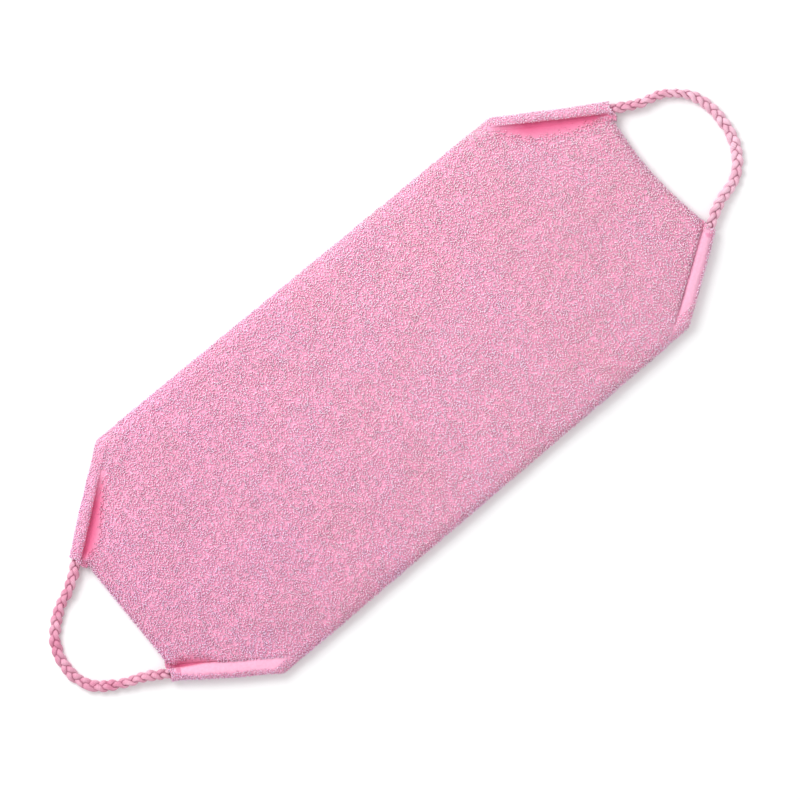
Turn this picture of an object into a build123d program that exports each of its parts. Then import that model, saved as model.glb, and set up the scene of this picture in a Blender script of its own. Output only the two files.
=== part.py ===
"""A back scrubbing pad of loop-pile cloth, with a looped cord handle at each end, lying flat.

Millimetres. +X runs along the pad to its right end, +Y across it, +Z up. z = 0 is the surface
that the pad lies on, and x = 0, y = 0 is the middle of the pad.
"""

from build123d import *
from math import pi, radians, tan
import os

os.makedirs("parts", exist_ok=True)

# Pad
pad_length = 482.0  # from end edge to end edge
pad_width = 208.0  # across the two long sides
back_thickness = 4.0  # cloth and pile under the seam
front_thickness = 8.0  # cloth and pile over the seam, with the foam inside
back_roundness = 2.5  # how round the lower edge is
front_roundness = 5.0  # how round the upper edge is
foam_thickness = 4.5
foam_inset = 16.0  # from the panels' edge to the foam's
foam_clearance = 0.5

# Cords and their hems
cord_diameter = 8.0
cord_clearance = 0.25  # round the cord, in its hem
casing_wall = 1.25
hem_gap = 0.3  # between a hem's tube and the edge of the panels
tab_width = 9.0  # the hem's flap, between the two panels
tab_thickness = 1.4
tab_margin = 10.0  # from a hem's two ends to its flap
tail_length = 42.0  # cord hidden in each hem
hinge_reach = 8.0  # from the hems' mouths to the line that a handle folds on
joint_gap = 0.4  # between the moving cord and its fixed ends
tail_roundness = 2.6  # round the fixed ends, which gives a folded handle room

# Threads
thread_width = 1.0
thread_thickness = 0.8
thread_clearance = 0.1
seam_inset = 7.0  # from the panels' edge to the seam that joins them
seam_margin = 12.0  # from a corner of the panels to the end of a seam
hem_stitch_inset = 4.0  # from the panels' edge to the stitches that close a hem
tack_width = 3.0  # bar tack across a hem, near its mouth
tack_thickness = 0.6
tack_sweep = 100.0  # how far a bar tack reaches round its hem, in degrees
tack_setback = 4.0

cord_radius = cord_diameter / 2
bore_radius = cord_radius + cord_clearance
casing_radius = bore_radius + casing_wall
panel_edge = casing_radius + hem_gap  # from a hem's centre line to the panels
seam_height = back_thickness
tab_top = seam_height + tab_thickness

# Each cord's route, from the mouth of its upper hem to the mouth of its lower hem, as the distance
# beyond the pad's end edge, Y and Z. The first and the last run point straight out of the hems, and
# the loop between them lies on the surface.
held = casing_radius
lying = cord_radius
routes = {
    "right": [
        (4.0, 51.5, held),
        (22.0, 38.9, held),
        (40.0, 35.7, lying),
        (60.0, 16.5, lying),
        (60.0, -20.5, lying),
        (40.0, -41.0, lying),
        (23.0, -44.4, held),
        (4.0, -57.5, held),
    ],
    "left": [
        (4.0, 48.5, held),
        (20.0, 36.3, held),
        (38.0, 30.0, lying),
        (59.0, 10.5, lying),
        (60.0, -21.5, lying),
        (38.0, -38.5, lying),
        (20.0, -44.6, held),
        (4.0, -55.5, held),
    ],
}


def route_points(end):
    """A cord's route as points, from the upper hem to the lower one."""
    sign = 1 if end == "right" else -1
    return [Vector(sign * (pad_length / 2 + reach), y, z) for reach, y, z in routes[end]]


class Corner:
    """One cut corner of the pad. Its hem carries on the first run of its cord, up to the side."""

    def __init__(self, end, side):
        self.name = f"{end}_{side}"
        self.end = 1 if end == "right" else -1
        self.side = 1 if side == "upper" else -1
        route = route_points(end)[:: self.side]
        self.mouth = route[0]
        self.out = (route[1] - route[0]).normalized()
        self.hinge = self.mouth + self.out * (hinge_reach / abs(self.out.X))
        self.along = self.out * -1
        self.inward = Vector(self.along.Y, -self.along.X) * (-self.end * self.side)
        self.slope = abs(self.along.Y / self.along.X)
        self.length = (pad_width / 2 - abs(self.mouth.Y)) / abs(self.along.Y)

    def place(self, along, inward):
        """A point of the plan, from its distances up the hem and in from the hem's centre line."""
        spot = self.mouth + self.along * along + self.inward * inward
        return (spot.X, spot.Y)

    def strip(self, start, stop, near, far):
        """The four corners of a strip that runs along the hem."""
        ends = ((start, near), (stop, near), (stop, far), (start, far))
        return [self.place(along, inward) for along, inward in ends]

    def tab(self, near, clearance=0.0):
        """The flap's outline, from near the hem's centre line to its free edge."""
        return self.strip(
            tab_margin - clearance,
            self.length - tab_margin + clearance,
            near,
            panel_edge + tab_width + clearance,
        )

    def stitches(self, clearance=0.0):
        """The outline of the stitches that close the hem."""
        middle = panel_edge + hem_stitch_inset
        half = thread_width / 2 + clearance
        start = tab_margin - clearance
        stop = self.length - tab_margin + clearance
        return self.strip(start, stop, middle - half, middle + half)

    def section(self, along):
        """The plane square to the hem, at a distance up it. Its Y is up."""
        spot = self.mouth + self.along * along
        return Plane(origin=spot, x_dir=Vector(0, 0, 1).cross(self.along), z_dir=self.along)

    def panel_corners(self):
        """Where the panels' cut corner meets the end edge, and where it meets the long side."""
        x, y = self.place(0, panel_edge)
        end_x = self.end * pad_length / 2
        side_y = self.side * pad_width / 2
        end_y = y + self.side * self.slope * abs(x - end_x)
        side_x = x - self.end * abs(side_y - y) / self.slope
        return (end_x, end_y), (side_x, side_y)


corners = {
    (end, side): Corner(end, side) for end in ("right", "left") for side in ("upper", "lower")
}
right_upper = corners["right", "upper"].panel_corners()
left_upper = corners["left", "upper"].panel_corners()
left_lower = corners["left", "lower"].panel_corners()
right_lower = corners["right", "lower"].panel_corners()


def groove(inset, start, stop, clearance=0.0):
    """The outline of a seam thread that runs beside the edge from start to stop, in plan."""
    first, last = Vector(*start), Vector(*stop)
    run = (last - first).normalized()
    inward = Vector(-run.Y, run.X)
    half = thread_width / 2 + clearance
    first = first + run * (seam_margin - clearance)
    last = last - run * (seam_margin - clearance)
    spots = (
        first + inward * (inset - half),
        last + inward * (inset - half),
        last + inward * (inset + half),
        first + inward * (inset + half),
    )
    return [(spot.X, spot.Y) for spot in spots]


# The seams run anticlockwise round the panels, so that their insides are on the left.
seams = {
    "side_seam_thread_upper": (right_upper[1], left_upper[1]),
    "end_seam_thread_left": (left_upper[0], left_lower[0]),
    "side_seam_thread_lower": (left_lower[1], right_lower[1]),
    "end_seam_thread_right": (right_lower[0], right_upper[0]),
}

with BuildSketch() as plan:
    Polygon(
        *(*right_upper, *left_upper[::-1], *left_lower, *right_lower[::-1]),
        align=None,
    )

with BuildSketch() as pocket_plan:
    add(plan.sketch)
    offset(amount=foam_clearance - foam_inset, kind=Kind.INTERSECTION)

# The back panel is a plain slab of cloth and pile, rounded where it meets the surface.
with BuildPart() as back_panel:
    with BuildSketch():
        add(plan.sketch)
    extrude(amount=back_thickness)
    fillet(back_panel.faces().sort_by(Axis.Z)[0].edges(), radius=back_roundness)

# The front panel lies over the foam and meets the back panel all round. Its underside has room
# for the foam, the hems' flaps and the threads.
with BuildPart() as front_panel:
    with BuildSketch(Plane.XY.offset(seam_height)):
        add(plan.sketch)
    extrude(amount=front_thickness)
    fillet(front_panel.faces().sort_by(Axis.Z)[-1].edges(), radius=front_roundness)
    with BuildSketch(Plane.XY.offset(seam_height)):
        add(pocket_plan.sketch)
    extrude(amount=foam_thickness, mode=Mode.SUBTRACT)
    with BuildSketch(Plane.XY.offset(seam_height)):
        for corner in corners.values():
            Polygon(*corner.tab(panel_edge - hem_gap, thread_clearance), align=None)
    extrude(amount=tab_thickness, mode=Mode.SUBTRACT)
    with BuildSketch(Plane.XY.offset(tab_top)):
        for corner in corners.values():
            Polygon(*corner.stitches(thread_clearance), align=None)
    extrude(amount=thread_thickness, mode=Mode.SUBTRACT)
    with BuildSketch(Plane.XY.offset(seam_height)):
        for start, stop in seams.values():
            Polygon(*groove(seam_inset, start, stop, thread_clearance), align=None)
    extrude(amount=thread_thickness, mode=Mode.SUBTRACT)

with BuildPart() as foam_core:
    with BuildSketch(Plane.XY.offset(seam_height)):
        add(plan.sketch)
        offset(amount=-foam_inset, kind=Kind.INTERSECTION)
    extrude(amount=foam_thickness)

finished = {"back_panel": back_panel, "front_panel": front_panel, "foam_core": foam_core}

for name, (start, stop) in seams.items():
    with BuildPart() as seam_thread:
        with BuildSketch(Plane.XY.offset(seam_height)):
            Polygon(*groove(seam_inset, start, stop), align=None)
        extrude(amount=thread_thickness)
    finished[name] = seam_thread

for corner in corners.values():
    # The hem is cloth rolled into a tube, with its flap sewn in between the panels. It runs out
    # at the long side, where its end is cut in line with the pad.
    with BuildPart() as hem_casing:
        with BuildSketch(corner.section(0)):
            Circle(casing_radius)
        extrude(amount=corner.length + casing_radius / corner.slope)
        with BuildSketch(Plane.XY.offset(seam_height)):
            Polygon(*corner.tab(bore_radius + casing_wall / 2), align=None)
        extrude(amount=tab_thickness)
        Box(2 * pad_length, pad_width, 4 * casing_radius, mode=Mode.INTERSECT)
        with BuildSketch(corner.section(0)):
            Circle(bore_radius)
        extrude(amount=tail_length + joint_gap, mode=Mode.SUBTRACT)

    with BuildPart() as cord_tail:
        shown = (corner.hinge - corner.mouth).length - cord_radius - joint_gap
        with BuildSketch(corner.section(-shown)):
            Circle(cord_radius)
        extrude(amount=tail_length + shown)
        shown_end = cord_tail.faces().sort_by_distance(corner.hinge)[0]
        fillet(shown_end.edges(), radius=tail_roundness)

    with BuildPart() as hem_stitches:
        with BuildSketch(Plane.XY.offset(tab_top)):
            Polygon(*corner.stitches(), align=None)
        extrude(amount=thread_thickness)

    # The bar tack lies over the top of the hem and pins the cord inside it.
    with BuildPart() as bar_tack:
        with BuildSketch(corner.section(tack_setback)):
            with BuildLine():
                first_angle = 90 - tack_sweep / 2
                inner = CenterArc((0, 0), casing_radius, first_angle, tack_sweep)
                outer = CenterArc((0, 0), casing_radius + tack_thickness, first_angle, tack_sweep)
                Line(inner @ 0, outer @ 0)
                Line(inner @ 1, outer @ 1)
            make_face()
        extrude(amount=tack_width)

    finished[f"hem_casing_{corner.name}"] = hem_casing
    finished[f"cord_tail_{corner.name}"] = cord_tail
    finished[f"hem_stitches_{corner.name}"] = hem_stitches
    finished[f"bar_tack_{corner.name}"] = bar_tack


def bend_radii(points):
    """The largest radius that each corner of a route has room for."""
    radii = []
    for before, at, after in zip(points, points[1:], points[2:]):
        shorter = min((at - before).length, (after - at).length)
        turn = (at - before).get_angle(after - at)
        radii.append(0.45 * shorter / tan(radians(turn) / 2))
    return radii


# A handle is the stretch of its cord that folds: from the hinge line, round the loop and back. Its
# two ends are round about the hinge line, so that they stay in place as it turns.
for end in routes:
    upper = corners[end, "upper"]
    lower = corners[end, "lower"]
    points = [upper.hinge, *route_points(end)[1:-1], lower.hinge]
    radii = bend_radii(points)
    with BuildPart() as handle_cord:
        with BuildLine() as path:
            FilletPolyline(*points, radius=radii)
        with BuildSketch(Plane(origin=upper.hinge, z_dir=upper.out)):
            Circle(cord_radius)
        sweep(path=path.wires()[0])
        tube_volume = handle_cord.part.volume
        with Locations(upper.hinge, lower.hinge):
            Sphere(cord_radius)
    finished[f"handle_cord_{end}"] = handle_cord

    cord_length = path.wires()[0].length
    free_length = cord_length + sum((c.hinge - c.mouth).length for c in (upper, lower))
    expected = pi * cord_radius**2 * cord_length
    print(f"{end} cord: bend radii", [round(radius, 1) for radius in radii])
    print(f"{end} cord: {free_length:.1f} from mouth to mouth, folds at x {upper.hinge.X:.1f}")
    print(f"{end} cord: tube volume {tube_volume:.0f}, section times length {expected:.0f}")

for name, piece in finished.items():
    piece.part.label = name
    export_step(piece.part, f"parts/{name}.step")
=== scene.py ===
"""The looks of a back scrubbing pad: loop-pile cloth over a sponge sheet, rolled hems across its four
cut corners, and a plaited cord handle at each end. It lies flat, front up, on a pale floor.

Metres. +X runs along the pad to its right end, +Y across it, +Z up, as in the CAD model.
"""

import bmesh
import bpy
import math
import numpy as np
from mathutils import Matrix, Vector, noise
from mathutils.kdtree import KDTree


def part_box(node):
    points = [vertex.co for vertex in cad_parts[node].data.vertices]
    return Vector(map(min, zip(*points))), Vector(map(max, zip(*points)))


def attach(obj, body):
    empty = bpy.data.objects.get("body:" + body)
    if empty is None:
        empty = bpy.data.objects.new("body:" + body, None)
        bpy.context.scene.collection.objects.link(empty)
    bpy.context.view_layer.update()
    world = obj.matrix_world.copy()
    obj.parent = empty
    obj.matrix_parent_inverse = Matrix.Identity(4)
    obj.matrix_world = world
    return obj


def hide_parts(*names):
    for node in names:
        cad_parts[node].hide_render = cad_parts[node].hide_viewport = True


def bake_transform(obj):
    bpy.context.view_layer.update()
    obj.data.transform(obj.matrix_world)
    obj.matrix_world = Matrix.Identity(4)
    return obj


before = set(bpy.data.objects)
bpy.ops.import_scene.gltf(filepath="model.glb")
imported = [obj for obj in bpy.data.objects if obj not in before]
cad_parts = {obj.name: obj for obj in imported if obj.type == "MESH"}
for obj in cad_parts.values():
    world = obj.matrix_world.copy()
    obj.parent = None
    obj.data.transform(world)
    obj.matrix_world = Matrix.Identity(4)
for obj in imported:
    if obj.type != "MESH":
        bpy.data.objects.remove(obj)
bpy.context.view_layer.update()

mm = 0.001

# ---------------------------------------------------------------------------- sizes from the frame

front_low, front_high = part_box("front_panel")
back_low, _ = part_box("back_panel")
half_length = front_high.x
half_width = front_high.y
seam_height = front_low.z
pad_top = front_high.z

hem_radius = 5.5 * mm
panel_edge = 5.8 * mm  # from a hem's centre line to the edge of the panels

# Each cord's route, from the mouth of its upper hem to the mouth of its lower one.
held = hem_radius
lying = 4 * mm
routes = {
    "right": [
        (0.2450, 0.0515, held),
        (0.2630, 0.0404, held),
        (0.2820, 0.0367, lying),
        (0.3010, 0.0172, lying),
        (0.3010, -0.0205, lying),
        (0.2843, -0.0432, lying),
        (0.2650, -0.0468, held),
        (0.2450, -0.0575, held),
    ],
    "left": [
        (-0.2450, 0.0485, held),
        (-0.2605, 0.0363, held),
        (-0.2780, 0.0300, lying),
        (-0.2988, 0.0105, lying),
        (-0.3006, -0.0222, lying),
        (-0.2785, -0.0391, lying),
        (-0.2612, -0.0450, held),
        (-0.2450, -0.0555, held),
    ],
}
# Each hem's centre line, carried on past its mouth, goes through this point.
hem_aims = {
    "right": [(0.2630, 0.0399), (0.2640, -0.0444)],
    "left": [(-0.2607, 0.0366), (-0.2610, -0.0440)],
}


# ------------------------------------------------------------------------------------ small helpers


def linear(colour):
    """An sRGB hex colour as linear RGBA."""
    parts = [int(colour[i : i + 2], 16) / 255 for i in (0, 2, 4)]
    return (*[c / 12.92 if c <= 0.04045 else ((c + 0.055) / 1.055) ** 2.4 for c in parts], 1.0)


def add(tree, kind, sockets=None, **settings):
    """Adds a node. settings are its own properties, and sockets gives each of its inputs, by name
    or number, a value or another node's output."""
    node = tree.nodes.new(kind)
    for name, value in settings.items():
        setattr(node, name, value)
    for key, value in (sockets or {}).items():
        if isinstance(value, bpy.types.NodeSocket):
            tree.links.new(value, node.inputs[key])
        else:
            node.inputs[key].default_value = value
    return node


def ease(t):
    """0 up to t = 0, 1 from t = 1, and smooth between them."""
    t = np.clip(t, 0, 1)
    return t * t * (3 - 2 * t)


def round_over(t):
    """A quarter circle's rise, from 0 at t = 0 to 1 from t = 1."""
    t = np.clip(t, 0, 1)
    return np.sqrt(1 - (1 - t) ** 2)


def profile(stops, at):
    """A size that changes along a hem: stops are (distance from the mouth, size), in millimetres."""
    places, sizes = zip(*stops)
    return np.interp(at / mm, places, sizes) * mm


def grid_faces(rows, columns, closed=False):
    """The quads of a grid of points, row by row. closed joins the last column to the first."""
    faces = []
    for row in range(rows - 1):
        for column in range(columns if closed else columns - 1):
            after = (column + 1) % columns
            here, up = row * columns, (row + 1) * columns
            faces.append((here + column, here + after, up + after, up + column))
    return faces


def new_piece(name, points, faces, material, attributes=None):
    """A smooth mesh object from points and faces, with a float attribute for each name given."""
    mesh = bpy.data.meshes.new(name)
    mesh.from_pydata([tuple(p) for p in points], [], faces)
    for attribute, values in (attributes or {}).items():
        layer = mesh.attributes.new(attribute, "FLOAT", "POINT")
        layer.data.foreach_set("value", np.asarray(values, np.float32).ravel())
    mesh.materials.append(material)
    mesh.shade_smooth()
    piece = bpy.data.objects.new(name, mesh)
    bpy.context.scene.collection.objects.link(piece)
    return piece


def tidy_mesh(piece, merge=0.02 * mm):
    """Merges doubles and turns all faces outwards."""
    work = bmesh.new()
    work.from_mesh(piece.data)
    bmesh.ops.remove_doubles(work, verts=work.verts, dist=merge)
    bmesh.ops.recalc_face_normals(work, faces=work.faces)
    work.to_mesh(piece.data)
    work.free()


def as_plain_mesh(piece):
    """The evaluated piece as a plain mesh, with its modifiers gone."""
    bpy.context.view_layer.update()
    evaluated = piece.evaluated_get(bpy.context.evaluated_depsgraph_get())
    mesh = bpy.data.meshes.new_from_object(evaluated)
    piece.modifiers.clear()
    piece.data = mesh
    return piece


# ------------------------------------------------------------------------------- camera and lights

view_turn = math.radians(-39.85)
view_width = 0.5632
lens = 135.0

camera = bpy.data.objects.new("camera", bpy.data.cameras.new("camera"))
camera.data.lens = lens
camera.data.sensor_width = 36.0
camera.rotation_euler = (0, 0, view_turn)
camera.location = (0.0011, -0.0112, view_width * lens / 36.0)
bpy.context.scene.collection.objects.link(camera)
bpy.context.scene.camera = camera
bpy.context.scene.view_settings.view_transform = "Standard"

world = bpy.data.worlds.new("studio")
bpy.context.scene.world = world
world.use_nodes = True
world.node_tree.nodes["Background"].inputs["Color"].default_value = (1.0, 1.0, 1.0, 1.0)
world.node_tree.nodes["Background"].inputs["Strength"].default_value = 0.82

key = bpy.data.objects.new("key_light", bpy.data.lights.new("key_light", "AREA"))
key.data.energy = 16.0
key.data.size = 0.9
key.location = (-0.15, 1.05, 1.05)
key.rotation_euler = (Vector((0, 0, 0)) - key.location).to_track_quat("-Z", "Y").to_euler()
bpy.context.scene.collection.objects.link(key)

# ---------------------------------------------------------------------------------------- materials


def new_material(name):
    """An empty material and its tree, with the principled shader joined to the output."""
    material = bpy.data.materials.new(name)
    material.use_nodes = True
    tree = material.node_tree
    tree.nodes.clear()
    shader = add(tree, "ShaderNodeBsdfPrincipled")
    add(tree, "ShaderNodeOutputMaterial", {"Surface": shader.outputs["BSDF"]})
    return material, tree, shader


def pile_yarn():
    """Crimped polyester terry yarn, dyed pink: soft light tips over deeper roots, which is painted light
    on the crests and painted shade down in the pile; warm and lilac patches a few centimetres across, a
    deeper dye towards the left end, a deep rose where it stands in a fold, which is painted shade, and a
    fuzzy sheen."""
    material, tree, shader = new_material("crimped_polyester_pile")
    place = add(tree, "ShaderNodeTexCoord").outputs["Object"]
    tip = add(tree, "ShaderNodeAttribute", attribute_name="tip").outputs["Fac"]
    tone = add(tree, "ShaderNodeAttribute", attribute_name="tone").outputs["Fac"]
    fold = add(tree, "ShaderNodeAttribute", attribute_name="fold").outputs["Fac"]
    patches = add(
        tree,
        "ShaderNodeTexNoise",
        {"Vector": place, "Scale": 1 / (30 * mm), "Detail": 4.0, "Roughness": 0.6},
    )
    lilac = add(
        tree,
        "ShaderNodeMapRange",
        {"Value": patches.outputs["Fac"], "From Min": 0.38, "From Max": 0.62},
    )
    tips = add(
        tree,
        "ShaderNodeMix",
        {0: lilac.outputs[0], 6: linear("FFD8E7"), 7: linear("FFDCF3")},
        data_type="RGBA",
    )
    # Painted shade and light: each loop is deeper at its roots, down in the pile, and lighter at its
    # crest.
    yarn = add(
        tree,
        "ShaderNodeMix",
        {0: tip, 6: linear("F29EC1"), 7: tips.outputs[2]},
        data_type="RGBA",
    )
    # Painted shade: a deep rose for the yarn that stands in a fold beside a hem.
    yarn_with_fold_shade = add(
        tree,
        "ShaderNodeMix",
        {0: fold, 6: yarn.outputs[2], 7: linear("D95C8A")},
        data_type="RGBA",
    )
    end_to_end = add(tree, "ShaderNodeSeparateXYZ", {"Vector": place})
    deeper = add(
        tree,
        "ShaderNodeMapRange",
        {"Value": end_to_end.outputs["X"], "From Min": -0.24, "From Max": 0.05},
    )
    dyed = add(
        tree,
        "ShaderNodeMix",
        {0: deeper.outputs[0], 6: linear("F6E9F6"), 7: linear("FFFFFF")},
        data_type="RGBA",
    )
    lot = add(
        tree,
        "ShaderNodeMix",
        {0: 1.0, 6: yarn_with_fold_shade.outputs[2], 7: dyed.outputs[2]},
        data_type="RGBA",
        blend_type="MULTIPLY",
    )
    shade = add(tree, "ShaderNodeMapRange", {"Value": tone, "To Min": 0.84, "To Max": 1.13})
    varied = add(tree, "ShaderNodeHueSaturation", {"Value": shade.outputs[0], "Color": lot.outputs[2]})
    tree.links.new(varied.outputs["Color"], shader.inputs["Base Color"])
    shader.inputs["Roughness"].default_value = 0.9
    shader.inputs["Sheen Weight"].default_value = 0.25
    shader.inputs["Sheen Roughness"].default_value = 0.5
    shader.inputs["Subsurface Weight"].default_value = 0.4
    shader.inputs["Subsurface Radius"].default_value = (1.0, 0.5, 0.65)
    shader.inputs["Subsurface Scale"].default_value = 1.2 * mm
    return material


def knit_ground():
    """The knitted polyester ground under the loops, dyed with them, a little deeper where the loops
    stand over it, which is painted shade between them. Bare at the hems, where it is smooth and pale,
    and a deep rose inside the folds, which is painted shade with the light that bounces between their
    sides painted in too."""
    material, tree, shader = new_material("knitted_polyester_ground")
    place = add(tree, "ShaderNodeTexCoord").outputs["Object"]
    fold = add(tree, "ShaderNodeAttribute", attribute_name="fold").outputs["Fac"]
    bare = add(tree, "ShaderNodeAttribute", attribute_name="bare").outputs["Fac"]
    rows = add(
        tree,
        "ShaderNodeTexWave",
        {"Vector": place, "Scale": 1 / (2 * math.pi * 0.35 * mm), "Distortion": 1.5, "Detail": 1.0},
        wave_type="BANDS",
    )
    # Painted shade: the ground is a little deeper where loops stand over it than where it is bare.
    ground = add(
        tree,
        "ShaderNodeMix",
        {0: bare, 6: linear("F3AAC9"), 7: linear("F3B1CD")},
        data_type="RGBA",
    )
    worn = add(tree, "ShaderNodeTexNoise", {"Vector": place, "Scale": 1 / (1.8 * mm), "Detail": 2.0})
    shade = add(
        tree,
        "ShaderNodeMapRange",
        {"Value": worn.outputs["Fac"], "From Min": 0.3, "From Max": 0.7, "To Min": 0.93, "To Max": 1.05},
    )
    mottled = add(
        tree,
        "ShaderNodeHueSaturation",
        {"Value": shade.outputs[0], "Color": ground.outputs[2]},
    )
    # Painted shade: a deep rose inside the folds beside the hems.
    deep = add(
        tree,
        "ShaderNodeMix",
        {0: fold, 6: mottled.outputs["Color"], 7: linear("D85C88")},
        data_type="RGBA",
    )
    knit = add(
        tree,
        "ShaderNodeBump",
        {"Height": rows.outputs["Fac"], "Strength": 0.25, "Distance": 0.15 * mm},
    )
    bump = add(
        tree,
        "ShaderNodeBump",
        {
            "Height": worn.outputs["Fac"],
            "Strength": 0.5,
            "Distance": 0.8 * mm,
            "Normal": knit.outputs["Normal"],
        },
    )
    tree.links.new(deep.outputs[2], shader.inputs["Base Color"])
    tree.links.new(bump.outputs["Normal"], shader.inputs["Normal"])
    shader.inputs["Roughness"].default_value = 0.85
    shader.inputs["Sheen Weight"].default_value = 0.2
    return material


def cord_yarn():
    """Soft spun polyester cord yarn, a bundle of fine plies twisted round: matt, darker in the grooves
    between its plies, which is painted shade, with dye that took unevenly along the cord and painted
    shade on the right cord where its plait stands edge up, and a deeper rose where the strands lie close
    together, which is painted shade."""
    material, tree, shader = new_material("spun_polyester_cord")
    along = add(tree, "ShaderNodeUVMap", uv_map="strand").outputs["UV"]
    gap_shade = add(tree, "ShaderNodeAttribute", attribute_name="gap_shade").outputs["Fac"]
    depth = add(tree, "ShaderNodeAttribute", attribute_name="dye_and_shade_depth").outputs["Fac"]
    plies = add(
        tree,
        "ShaderNodeTexWave",
        {"Vector": along, "Scale": 4.0, "Distortion": 0.6, "Detail": 2.0, "Detail Scale": 3.0},
        wave_type="BANDS",
        bands_direction="DIAGONAL",
    )
    place = add(tree, "ShaderNodeTexCoord").outputs["Object"]
    dye = add(tree, "ShaderNodeTexNoise", {"Vector": place, "Scale": 1 / (9 * mm), "Detail": 3.0})
    spread = add(
        tree,
        "ShaderNodeMapRange",
        {
            "Value": dye.outputs["Fac"],
            "From Min": 0.35,
            "From Max": 0.65,
            "To Min": -0.2,
            "To Max": 0.2,
        },
    )
    # Depth of colour along the cord: uneven dye, with painted shade where the right plait stands edge
    # up.
    uneven = add(tree, "ShaderNodeMath", {0: spread.outputs[0], 1: depth}, operation="ADD")
    dyed = add(
        tree,
        "ShaderNodeMix",
        {0: uneven.outputs[0], 6: linear("FFD0E2"), 7: linear("D67C9C")},
        data_type="RGBA",
    )
    # Painted shade: darker in the grooves between the plies, where the bump is lowest.
    between = add(
        tree,
        "ShaderNodeMapRange",
        {"Value": plies.outputs["Fac"], "To Min": 0.8, "To Max": 1.08},
    )
    plied = add(
        tree,
        "ShaderNodeHueSaturation",
        {"Value": between.outputs[0], "Color": dyed.outputs[2]},
    )
    # Painted shade between the strands: a dark rose where they lie close together.
    colour = add(
        tree,
        "ShaderNodeMix",
        {0: gap_shade, 6: plied.outputs["Color"], 7: linear("9E4468")},
        data_type="RGBA",
    )
    bump = add(
        tree,
        "ShaderNodeBump",
        {"Height": plies.outputs["Fac"], "Strength": 0.55, "Distance": 0.3 * mm},
    )
    tree.links.new(colour.outputs[2], shader.inputs["Base Color"])
    tree.links.new(bump.outputs["Normal"], shader.inputs["Normal"])
    shader.inputs["Roughness"].default_value = 0.85
    shader.inputs["Sheen Weight"].default_value = 0.2
    return material


def sewing_thread():
    """Twisted polyester sewing thread: smooth, with a slight gloss along its lay."""
    material, tree, shader = new_material("polyester_sewing_thread")
    place = add(tree, "ShaderNodeTexCoord").outputs["Object"]
    lay = add(
        tree,
        "ShaderNodeTexWave",
        {"Vector": place, "Scale": 1 / (2 * math.pi * 0.2 * mm), "Distortion": 0.5},
        bands_direction="DIAGONAL",
    )
    bump = add(
        tree,
        "ShaderNodeBump",
        {"Height": lay.outputs["Fac"], "Strength": 0.3, "Distance": 0.1 * mm},
    )
    shader.inputs["Base Color"].default_value = linear("EB96BA")
    tree.links.new(bump.outputs["Normal"], shader.inputs["Normal"])
    shader.inputs["Roughness"].default_value = 0.55
    return material


def sponge():
    """Open-cell polyurethane foam, cut from a block: cream, matt and full of small cells, darker in
    their hollows, which is painted shade.
    """
    material, tree, shader = new_material("polyurethane_foam")
    place = add(tree, "ShaderNodeTexCoord").outputs["Object"]
    cells = add(tree, "ShaderNodeTexVoronoi", {"Vector": place, "Scale": 1 / (1.2 * mm)})
    # Painted shade: darker down in each cell, where the bump is lowest.
    colour = add(
        tree,
        "ShaderNodeMix",
        {0: cells.outputs["Distance"], 6: linear("D8C9A6"), 7: linear("F3E8CE")},
        data_type="RGBA",
    )
    bump = add(
        tree,
        "ShaderNodeBump",
        {"Height": cells.outputs["Distance"], "Strength": 0.6, "Distance": 0.4 * mm},
    )
    tree.links.new(colour.outputs[2], shader.inputs["Base Color"])
    tree.links.new(bump.outputs["Normal"], shader.inputs["Normal"])
    shader.inputs["Roughness"].default_value = 0.95
    return material


def floor_paper():
    """White seamless background paper, matt."""
    material, tree, shader = new_material("white_background_paper")
    shader.inputs["Base Color"].default_value = linear("F8F9F9")
    shader.inputs["Roughness"].default_value = 0.9
    return material


pile_material = pile_yarn()
ground_material = knit_ground()
cord_material = cord_yarn()
thread_material = sewing_thread()
foam_material = sponge()
floor_material = floor_paper()

# ------------------------------------------------------------------------------------------- floor

bpy.ops.mesh.primitive_plane_add(size=8.0)
floor = bpy.context.object
floor.name = "floor"
floor.data.materials.append(floor_material)

# ------------------------------------------------------------------------------------------- cords

tail = 26 * mm  # of cord inside each hem
strand_period = 20.7 * mm  # of the plait, in which each strand crosses over and comes back
strand_sway = 2.0 * mm
strand_lift = 1.5 * mm
strand_wide = 2.05 * mm
strand_thick = 1.5 * mm
strand_sides = 24
ring_step = 0.6 * mm
gap_shade_reach = 1.1 * mm  # how far from another strand the painted shade between strands still reaches
floor_gap = 0.1 * mm
hem_squeeze = 0.16  # a hem draws the plait in by this share, where it comes out

# Each flat plait turns edge up over its first and last bends, and lies flat along its outer side.
cord_rolls = {
    "right": [(0.1, 0), (0.22, 55), (0.34, 75), (0.46, 10), (0.68, 0), (0.78, 35), (0.9, 0)],
    "left": [(0.1, 0), (0.26, -40), (0.38, -15), (0.55, 0), (0.7, 55), (0.8, 50), (0.9, 0)],
}

# How deep the colour is along each cord, as (share of the length, depth) stops: uneven dye, and on the
# right cord painted shade as well, deeper on its top arc where the plait stands edge up and paler on its
# right arc where it lies flat.
cord_dye_and_shade = {
    "right": [(0.1, 0.5), (0.3, 0.5), (0.5, 0.2), (0.8, 0.22), (0.95, 0.4)],
    "left": [(0.1, 0.55), (0.3, 0.7), (0.6, 0.7), (0.95, 0.58)],
}


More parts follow.
